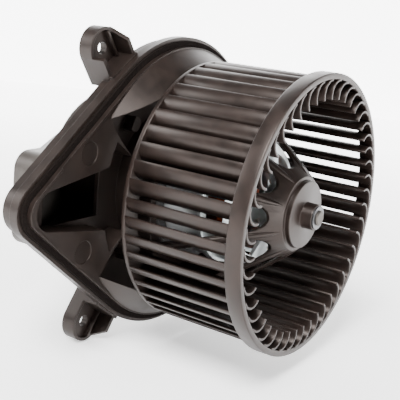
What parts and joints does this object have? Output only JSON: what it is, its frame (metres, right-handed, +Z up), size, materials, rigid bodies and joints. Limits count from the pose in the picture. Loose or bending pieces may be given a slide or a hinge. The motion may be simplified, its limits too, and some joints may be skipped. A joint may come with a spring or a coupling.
{
  "type": "car cabin blower motor",
  "caption": "Flanged motor housing with a squirrel-cage wheel of forward-curved blades that draws cabin air in at its open end and blows it out sideways.",
  "frame": {"origin": "on the motor's axis, in the seal plane of the housing's flange", "axes": "-Y along the shaft out of the wheel's open inlet, +Y out of the motor's rear, +Z up, -X toward the pointed corner of the flange"},
  "size_m": [0.2057, 0.157, 0.172],
  "materials": {
    "housing_plastic": "moulded black-grey polypropylene, fine grain",
    "cover_plastic": "moulded dark grey polypropylene",
    "wheel_plastic": "moulded black polypropylene, satin",
    "seal_foam": "closed-cell foam, matte",
    "damper_rubber": "moulded rubber, matte",
    "can_steel": "zinc-plated drawn steel",
    "ferrite": "sintered ferrite, ground",
    "sintered_bronze": "sintered bronze, oiled",
    "spring_steel": "spring steel",
    "card_board": "phenolic moulding",
    "brass_sheet": "stamped brass",
    "carbon": "pressed carbon",
    "screw_steel": "zinc-plated steel",
    "shaft_steel": "ground steel",
    "core_steel": "stacked electrical steel",
    "copper_wire": "enamelled copper wire",
    "copper_bar": "turned copper"
  },
  "bodies": {
    "housing": {"motor_housing": "housing_plastic", "rear_cover": "cover_plastic", "flange_seal": "seal_foam", "damper_ring": "damper_rubber", "motor_can": "can_steel", "front_bracket": "can_steel", "magnet_upper": "ferrite", "magnet_lower": "ferrite", "front_bush": "sintered_bronze", "rear_bush": "sintered_bronze", "front_retainer": "spring_steel", "rear_retainer": "spring_steel", "brush_card": "card_board", "brush_holder_left": "brass_sheet", "brush_holder_right": "brass_sheet", "brush_left": "carbon", "brush_right": "carbon", "brush_spring_left": "spring_steel", "brush_spring_right": "spring_steel", "terminal_left": "brass_sheet", "terminal_right": "brass_sheet", "cover_screws": "screw_steel", "motor_screws": "screw_steel"},
    "rotor": {"impeller_wheel": "wheel_plastic", "shaft": "shaft_steel", "laminated_core": "core_steel", "windings": "copper_wire", "commutator_bars": "copper_bar", "commutator_sleeve": "card_board", "shaft_clip": "spring_steel", "thrust_washers": "card_board"}
  },
  "joints": [
    {"name": "wheel_spin", "type": "hinge", "parent": "housing", "child": "rotor", "pos_m": [0, 0, 0], "axis": [0, 1, 0], "continuous": true}
  ]
}
